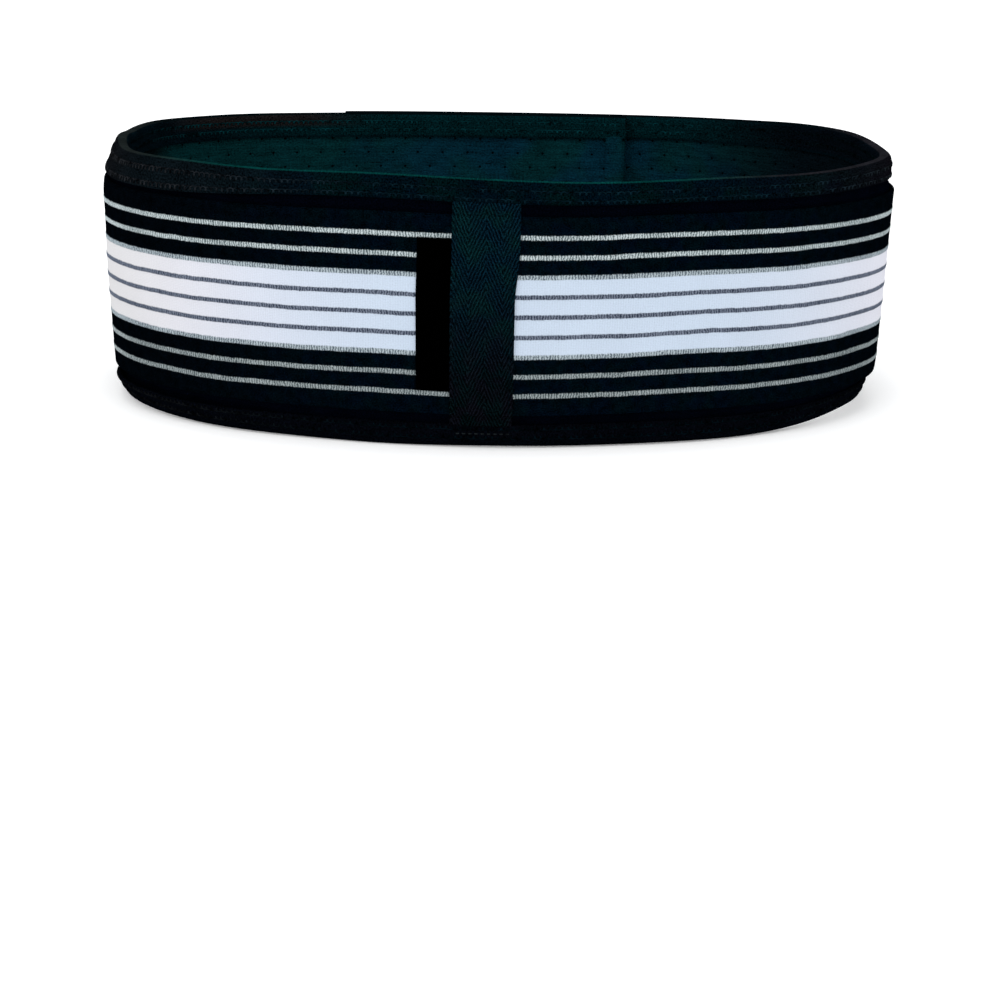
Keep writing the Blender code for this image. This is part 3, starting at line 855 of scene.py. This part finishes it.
def build_edge_binding(part, edge):
    """Binding folded over the top or the bottom edge of one length."""
    outer = np.linspace(REACH, FOLD_DEPTH, 14)[:-1]
    inner = np.linspace(FOLD_DEPTH, INSIDE_REACH, 12)[1:]
    side, face_depth, back_depth = fold_section(outer, inner, FOLD_DEPTH, BINDING_THICKNESS,
                                                flip=edge == "bottom")
    along = stops((part.start + HAIR, part.end - HAIR, LOOP_STEP / 2))[:, None]
    grids = []
    for depth, half in ((face_depth, FOLD_HALF), (back_depth, FOLD_HALF - BINDING_THICKNESS)):
        out = FOLD_MIDDLE + half * side + leg_puff(along, depth) * smooth(side * 1.2)
        drawn = np.where(side > 0.9, depth_below(along, depth, edge), depth)
        up = BELT_HEIGHT - drawn if edge == "top" else drawn
        grids.append((along, out, up))
    piece = closed_sheet(f"{part.name}_{edge}_edge_tape", *grids, "binding")
    finish_piece(piece, part.body, "binding", f"{part.cad_name}_{edge}_binding")
    stitches = [build_loops(part, edge, outside) for outside in (True, False)]


def build_loops(part, edge, outside):
    """Two rows of small looped stitches along one leg of an edge binding."""
    start, end = part.start + 2.5 * MM, part.end - 2.5 * MM
    travelled = stops((start, end, LOOP_STEP / 10))
    turn = 2 * np.pi * travelled / LOOP_STEP
    runs = []
    for row in (LOOP_NEAR, LOOP_FAR):
        turned = turn + (row == LOOP_FAR) * np.pi
        along = travelled - LOOP_RADIUS * np.sin(turned)
        depth = row + 0.8 * LOOP_RADIUS * np.cos(turned)
        standing = 0.04 * MM + 0.1 * MM * np.cos(turn / 2) ** 2
        if outside:
            out = BINDING_FACE + leg_puff(along, depth) + standing
            depth = depth_below(along, depth, edge)
        else:
            out = BINDING_BACK - standing
        up = BELT_HEIGHT - depth if edge == "top" else depth
        runs.append(np.stack([along, out, up], -1))
    side = "outside" if outside else "inside"
    look = "seam_thread" if outside else "inner_thread"
    piece = thread(f"{part.name}_{edge}_{side}_stitches", runs, look, THREAD_RADIUS, sides=5)
    return finish_piece(piece, part.body, "binding")


def build_end_binding(name, tip, inwards, body, look):
    """Binding folded over a free end, running under the two edge bindings."""
    leg = np.linspace(REACH, FOLD_DEPTH, 8)[:-1]
    section = fold_section(leg, leg[::-1], FOLD_DEPTH, BINDING_THICKNESS, flip=inwards > 0)
    side, face_depth, back_depth = (rows[:, None] for rows in section)
    low, high = REACH, BELT_HEIGHT - REACH
    up = stops((low - 3 * MM, low + 2 * MM, 0.5 * MM), (low + 2 * MM, high - 2 * MM, 2 * MM),
               (high - 2 * MM, high + 3 * MM, 0.5 * MM))[None]
    squeeze = np.maximum(smooth((low + 0.6 * MM - up) / (1.2 * MM)),
                         smooth((up - high + 0.6 * MM) / (1.2 * MM)))
    puff = 0.2 * MM * np.sin(np.pi * np.clip(face_depth / REACH, 0, 1)) * side
    grids = []
    for depth, half, squeezed in ((face_depth, FOLD_HALF, FOLD_HALF - 0.8 * MM),
                                  (back_depth, FOLD_HALF - BINDING_THICKNESS, FOLD_HALF - 0.95 * MM)):
        out = FOLD_MIDDLE + mix(half, squeezed, squeeze) * side + puff * (1 - squeeze)
        grids.append((tip + inwards * depth, out, up))
    piece = closed_sheet(f"{name}_tape", *grids, look)
    finish_piece(piece, body, "binding", f"{name}_binding")
    heights = np.arange(low + 1.5 * MM, high - 3.5 * MM, LOOP_STEP)[:, None]
    share = np.linspace(0, 1, 8)[None]
    number = np.arange(len(heights))[:, None]
    depth = mix(7.9 * MM, 3.8 * MM, np.where(number % 2 == 0, share, 1 - share))
    standing = 0.16 * MM - 0.5 * MM * (1 - np.sin(np.pi * share) ** 0.35)
    out = BINDING_FACE + 0.2 * MM * np.sin(np.pi * depth / REACH) + standing
    runs = np.stack([tip + inwards * depth, out, heights + share * LOOP_STEP], -1)
    stitches = thread(f"{name}_tape_stitches", runs, "seam_thread", radius=0.2 * MM)
    finish_piece(stitches, body, "binding")


# ---- The straps and their tabs ----

LINE_RELIEF = 0.16 * MM
EDGE_ROUNDING = 0.85 * MM


def rounded_edge(distance, size):
    """How far a face drops this close to its edge, as a quarter circle of that size."""
    share = 1 - np.clip(distance / size, 0, 1)
    return size * (1 - np.sqrt(1 - share**2))


def strap_rows():
    """Heights across a strap, close together at its raised lines and at its edges."""
    pitch, half = STRIPE_PITCH * MM, STRIPE_HALF * MM
    line = np.array([-1.25, -0.85, -0.4, 0.4, 0.85, 1.25]) * half
    across = [line + i * pitch for i in range(-4, 5)]
    between = [np.array([0.33, 0.5, 0.67]) * pitch + i * pitch for i in range(-4, 4)]
    edge = (STRAP_HEAD - STRAP_FOOT) / 2
    border = edge - np.array([0, 0.08, 0.25, 0.5, 0.85, 1.6, 3.2, 5.0]) * MM
    rows = np.concatenate([*across, *between, border, -border])
    return MID_HEIGHT + np.unique(rows.round(9))


def strap_face(along, up):
    """Outer surface of a strap: raised lines, eased edges, and a slack upper edge that swells."""
    level = up - MID_HEIGHT
    line = np.round(level / (STRIPE_PITCH * MM))
    offset = np.abs(level - line * STRIPE_PITCH * MM)
    raised = LINE_RELIEF * smooth((1.2 * STRIPE_HALF * MM - offset) / (0.35 * MM))
    raised = raised * (np.abs(line) < 4.5)
    edge = np.minimum(up - STRAP_FOOT, STRAP_HEAD - up)
    held_flat = smooth((np.abs(along - TAPE_CENTRE) - TAPE_HALF) / (20 * MM))
    slack = smooth((up - STRAP_HEAD + 14 * MM) / (9 * MM)) * held_flat
    slack = slack * (0.55 + 0.25 * np.sin(along / (24 * MM) + 0.6)) * MM
    slack = slack * (1 - smooth((np.abs(along) - 110 * MM) / (60 * MM)))
    return tab_lift(along) + raised + slack - rounded_edge(edge, EDGE_ROUNDING)


def strap_back(along, up):
    edge = np.minimum(up - STRAP_FOOT, STRAP_HEAD - up)
    return tab_lift(along) - STRAP_THICKNESS + rounded_edge(edge, EDGE_ROUNDING)


def build_strap(side, name):
    """Elastic from under the centre tape to the end of its tab."""
    start, end = TAPE_CENTRE + side * 1 * MM, side * (TAB_END - 0.9 * MM)
    along, up = stops((*sorted((start, end)), 1.5 * MM))[:, None], strap_rows()[None]
    piece = closed_sheet(f"{name}_strap", (along, strap_face(along, up), up),
                         (along, strap_back(along, up), up), "striped_elastic")
    return finish_piece(piece, f"{name}_fold", "striped_elastic", f"{name}_tension_strap",
                        f"{name}_tab_elastic")


TAB_PATCH_START = TAB_HINGE + 12 * MM
TAB_PATCH_END = TAB_END - 10.3 * MM
PATCH_MARGIN = 2 * MM
PATCH_SEAM = 1.5 * MM  # how far inside a patch's edge its seam runs
STITCH = 3.0 * MM
STITCH_RISE = 0.42 * MM
STITCH_DEPTH = 0.3 * MM  # how far its ends go under the cloth
HOOK_BASE = 0.35 * MM
HOOK_HEIGHT = 0.5 * MM
HOOK_SPACING = 1.9 * MM
HOOK_MARGIN = 1.6 * MM
TAB_END_WALL = 0.6 * MM
TAB_END_REACH = 10 * MM
TAB_END_SEAMS = (8.6 * MM, 6.8 * MM)  # how far in from the tab's end they run


def sew(name, lines, face, body, slot, look="seam_thread", radius=0.19 * MM):
    """Straight stitches along lines ((along, up), (along, up)), lying on the face f(along, up)."""
    within = np.linspace(0, 1, 7)[None]
    runs = []
    for (along_a, up_a), (along_b, up_b) in lines:
        number = max(1, round(math.hypot(along_b - along_a, up_b - up_a) / STITCH))
        share = (np.arange(number)[:, None] + within) / number
        along, up = mix(along_a, along_b, share), mix(up_a, up_b, share)
        out = face(along, up) - STITCH_DEPTH + STITCH_RISE * np.sin(np.pi * within) ** 0.5
        runs.append(np.stack([along, out, up], -1))
    return finish_piece(thread(name, np.concatenate(runs), look, radius), body, slot)


def box_lines(span, levels):
    """The four sides of the seam round a patch."""
    low, high = span[0] + PATCH_SEAM, span[1] - PATCH_SEAM
    foot, head = levels[0] + PATCH_SEAM, levels[1] - PATCH_SEAM
    corners = [(low, foot), (high, foot), (high, head), (low, head)]
    return list(zip(corners, corners[1:] + corners[:1]))


def build_tab(side, name, strap):
    """The tab's hook patch with its hooks and stitches, and the binding round the strap's end."""
    levels = STRAP_FOOT + PATCH_MARGIN, STRAP_HEAD - PATCH_MARGIN
    span = sorted((side * TAB_PATCH_START, side * TAB_PATCH_END))

    def patch_face(along, up):
        return tab_lift(along) - STRAP_THICKNESS - CLEARANCE + 0 * up

    patch, hooks = build_hook_patch(f"{name}_tab", f"{name}_fold", span, levels, patch_face)
    stitches = sew(f"{name}_tab_stitches", box_lines(span, levels), strap_face, f"{name}_fold",
                   "striped_elastic")
    binding = build_tab_end(side, name)


def build_hook_patch(name, body, span, levels, face):
    """Hook tape whose outer side is f(along, up): its base, and the hooks that stand in from it."""
    along, up = stops((*span, 3 * MM))[:, None], stops((*levels, 4 * MM))[None]
    surface = face(along, up)
    patch = closed_sheet(f"{name}_hook_base", (along, surface, up), (along, surface - HOOK_BASE, up),
                         "hook_tape")
    finish_piece(patch, body, "hook_tape", f"{name}_hook_patch")
    hooks = build_hooks(f"{name}_hooks", span, levels, lambda s, z: face(s, z) - HOOK_BASE)
    return patch, finish_piece(hooks, body, "hook_tape")


def build_hooks(name, span, levels, base):
    """Rows of small J hooks that stand in from a base, which f(along, up) gives."""
    columns = np.arange(span[0] + HOOK_MARGIN, span[1] - HOOK_MARGIN, HOOK_SPACING)
    rows = np.arange(levels[0] + HOOK_MARGIN, levels[1] - HOOK_MARGIN, HOOK_SPACING)
    along, up = (grid.reshape(-1, 1) for grid in np.meshgrid(columns, rows, indexing="ij"))
    flip = np.where(np.round((up - levels[0]) / HOOK_SPACING) % 2 == 0, 1, -1)
    shape = np.array([(0, -0.1), (0, 0.45), (0.25, 0.9), (0.62, 0.95), (0.8, 0.6)])
    reach, height = shape[None, :, 0], shape[None, :, 1]
    runs = np.stack([along + flip * reach * HOOK_HEIGHT, base(along, up) - height * HOOK_HEIGHT,
                     up + 0 * reach], -1)
    return thread(name, runs, "hook_tape", radius=0.09 * MM, sides=4)


def build_tab_end(side, name):
    """Binding folded over a strap's end."""
    wall = TAB_END_WALL
    front, rear = HOOK_STAND + CLEARANCE, HOOK_STAND - STRAP_THICKNESS - CLEARANCE
    middle, half = (front + rear) / 2, (front - rear) / 2
    leg = np.linspace(TAB_END_REACH, half + wall, 6)[:-1]
    section = fold_section(leg, leg[::-1], half + wall, wall, flip=side < 0, turns=9)
    level, face_depth, back_depth = (rows[:, None] for rows in section)
    up = stops((STRAP_FOOT - 0.3 * MM, STRAP_HEAD + 0.3 * MM, 2 * MM))[None]
    face = (side * (TAB_END - face_depth), middle + (half + wall) * level, up)
    back = (side * (TAB_END - back_depth), middle + half * level, up)
    piece = closed_sheet(f"{name}_tab_end_tape", face, back, "binding")
    finish_piece(piece, f"{name}_tab", "binding", f"{name}_tab_end_binding")
    stand = front + wall
    places = [side * (TAB_END - inset) for inset in TAB_END_SEAMS]
    lines = [((along, STRAP_FOOT + 2 * MM), (along, STRAP_HEAD - 2 * MM)) for along in places]
    sew(f"{name}_tab_end_stitches", lines, lambda s, z: stand + 0 * s, f"{name}_tab", "binding")
    return piece


# ---- What is sewn on the back, and the flap's hooks ----

TAPE_SEAMS = (-11 * MM, 9.2 * MM)  # where they run, from the tape's middle
TAPE_TUCK = 3 * MM  # how far its ends go under the bindings
BAR_HEIGHT = 5.6 * MM  # of the short stitches on the lower binding
BAR_STITCH = 1.4 * MM
BAR_RADIUS = 0.27 * MM


def tape_back(along, up):
    """Inner surface of the centre tape: over the straps, down beside them and under the bindings."""
    beside = np.maximum(smooth((STRAP_FOOT + 0.7 * MM - up) / (1.6 * MM)),
                        smooth((up - STRAP_HEAD + 0.7 * MM) / (1.6 * MM)))
    edge = np.minimum(up - REACH, BELT_HEIGHT - REACH - up)
    tucked = smooth((0.4 * MM - edge) / (1.8 * MM))
    resting = mix(FABRIC_FACE + CLEARANCE, PINCHED_FACE + 0.1 * MM, tucked)
    return mix(CLEARANCE + LINE_RELIEF, resting, beside)


def tape_face(along, up):
    across = along - TAPE_CENTRE
    folded = TWILL_COLUMN * MM - np.abs((across + 2 * TWILL_COLUMN * MM) % (2 * TWILL_COLUMN * MM)
                                        - TWILL_COLUMN * MM)
    ribs = np.sin((TWILL_SLOPE * folded + up - MID_HEIGHT) * 2 * np.pi / (TWILL_PERIOD * MM))
    edge = rounded_edge(TAPE_HALF - np.abs(across), 0.5 * MM)
    return tape_back(along, up) + TAPE_THICKNESS + 0.06 * MM * ribs - edge


def lower_leg_face(along, up):
    """Outer surface of the bottom binding's outer leg."""
    return BINDING_FACE + leg_puff(along, up)


def tape_draw(along, up):
    """How far the tape's two sides lie to the left below its upper third."""
    right = smooth((along - TAPE_CENTRE) / TAPE_HALF)
    left = smooth((TAPE_CENTRE - along) / TAPE_HALF)
    return (1.7 * right + 0.6 * left) * MM * smooth((78 * MM - up) / (22 * MM))


def build_tape():
    along = stops((TAPE_CENTRE - TAPE_HALF, TAPE_CENTRE + TAPE_HALF, 0.3 * MM))[:, None]
    up = stops((REACH - TAPE_TUCK, BELT_HEIGHT - REACH + TAPE_TUCK, 0.5 * MM))[None]
    drawn = along - tape_draw(along, up)
    piece = closed_sheet("back_tape", (drawn, tape_face(along, up), up),
                         (drawn, tape_back(along, up), up), "twill_tape", sharp=60)
    finish_piece(piece, "belt", "twill_tape", "centre_back_tape")
    foot, head = STRAP_FOOT + 1 * MM, STRAP_HEAD - 1 * MM
    lines = [((TAPE_CENTRE + x, foot), (TAPE_CENTRE + x, head)) for x in TAPE_SEAMS]
    seams = sew("back_tape_stitches", lines, tape_face, "belt", "twill_tape")
    starts = TAPE_CENTRE + np.arange(-10.8, 10, 2.4) * MM
    row = [((start, BAR_HEIGHT), (start + BAR_STITCH, BAR_HEIGHT)) for start in starts]
    bar = sew("belt_bottom_bar_stitches", row, lower_leg_face, "belt", "binding", "pale_thread",
              BAR_RADIUS)


def build_label():
    """Blank woven label with a raised border, beside the tape."""
    end = TAPE_CENTRE - TAPE_HALF - 0.02 * MM
    foot, head = label_low.z, label_high.z
    along = stops((end - LABEL_WIDTH, end, 0.5 * MM))[:, None]
    up = stops((foot, head, 0.5 * MM))[None]
    edge = np.minimum(np.minimum(along - end + LABEL_WIDTH, end - along) + 0 * up,
                      np.minimum(up - foot, head - up) + 0 * along)
    border = 0.12 * MM * smooth((1.6 * MM - edge) / (0.5 * MM))
    back = CLEARANCE + LINE_RELIEF + 0 * edge
    face = back + LABEL_THICKNESS + border - rounded_edge(edge, 0.4 * MM)
    drawn = along - tape_draw(along, up)
    piece = closed_sheet("blank_label", (drawn, face, up), (drawn, back, up), "label_cloth",
                         sharp=60)
    finish_piece(piece, "belt", "label_cloth", "side_label")


def build_flap_hooks():
    """Hook patch on the flap's inner side, and the rows of stitches that hold it."""
    span = FLAP_HINGE + 18 * MM, FLAP_END - 16 * MM
    levels = STRAP_FOOT + 1 * MM, STRAP_HEAD - 1 * MM
    patch, hooks = build_hook_patch("flap", "flap_fold", span, levels,
                                    lambda s, z: LINING_BACK - 0.1 * MM + 0 * s * z)
    seams = sew("flap_hook_stitches", box_lines(span, levels), fabric_face, "flap_fold",
                "outer_fabric")


# ---- Floor, light and camera ----

FLOOR_GLOW = 0.2  # light coming up through the white floor
SURROUND_STRENGTH = 1.2
KEY_POWER = 9
KEY_SIZE = (1.6, 1.2)
KEY_PLACE = (-0.9, -1.5, 1.7)
KEY_AIM = (0, 0, 0.05)


def build_studio():
    """Pale floor, an even white surround, and a large soft light from the camera's side."""
    bpy.ops.mesh.primitive_plane_add(size=80, location=(0, 0, 0))
    floor = bpy.context.object
    floor.name = "floor"
    look = bpy.data.materials.new("floor")
    look.use_nodes = True
    settings = {"Base Color": (0.97, 0.97, 0.97, 1), "Roughness": 0.9, "Specular IOR Level": 0.0,
                "Emission Color": (1, 1, 1, 1), "Emission Strength": FLOOR_GLOW}
    for name, value in settings.items():
        look.node_tree.nodes["Principled BSDF"].inputs[name].default_value = value
    floor.data.materials.append(look)

    world = bpy.data.worlds.new("surround")
    world.use_nodes = True
    background = world.node_tree.nodes["Background"]
    background.inputs["Color"].default_value = (0.98, 0.99, 1.0, 1)
    background.inputs["Strength"].default_value = SURROUND_STRENGTH
    bpy.context.scene.world = world

    light = bpy.data.lights.new("key", "AREA")
    light.shape = "RECTANGLE"
    light.size, light.size_y = KEY_SIZE
    light.energy = KEY_POWER
    key = bpy.data.objects.new("key", light)
    key.location = KEY_PLACE
    key.rotation_euler = (Vector(KEY_AIM) - key.location).to_track_quat("-Z", "Y").to_euler()
    bpy.context.scene.collection.objects.link(key)


CAMERA_PLACE = (-0.0251, -0.8865, 0.2102)
CAMERA_YAW = 0.0289
CAMERA_PITCH = 0.1958
CAMERA_ROLL = 0.0174
FOCAL_LENGTH, SENSOR_WIDTH = 77.31, 36
SHIFT_ACROSS, SHIFT_UP = 0.0034, -0.1968


def build_camera():
    lens = bpy.data.cameras.new("camera")
    lens.lens, lens.sensor_width = FOCAL_LENGTH, SENSOR_WIDTH
    lens.shift_x, lens.shift_y = SHIFT_ACROSS, SHIFT_UP
    camera = bpy.data.objects.new("camera", lens)
    turn = Matrix.Rotation(-CAMERA_YAW, 4, "Z") @ Matrix.Rotation(math.pi / 2 - CAMERA_PITCH, 4, "X")
    turn = turn @ Matrix.Rotation(CAMERA_ROLL, 4, "Z")
    camera.matrix_world = Matrix.Translation(CAMERA_PLACE) @ turn
    bpy.context.scene.collection.objects.link(camera)
    bpy.context.scene.camera = camera


# ---- The whole ----

for part in (BELT, FLAP):
    build_foam(part)
    build_outer_cloth(part)
    build_lining(part)
    build_edge_binding(part, "top")
    build_edge_binding(part, "bottom")
build_end_binding("underlap_end", UNDERLAP_END, 1, "belt", "end_lining")
build_end_binding("flap_end", FLAP_END, -1, "closure_flap", "binding")
build_flap_hooks()
for side, name in ((1, "right"), (-1, "left")):
    build_tab(side, name, build_strap(side, name))
build_tape()
build_label()
build_studio()
build_camera()

bpy.context.scene.view_settings.view_transform = "Standard"
bpy.context.scene.view_settings.look = "None"
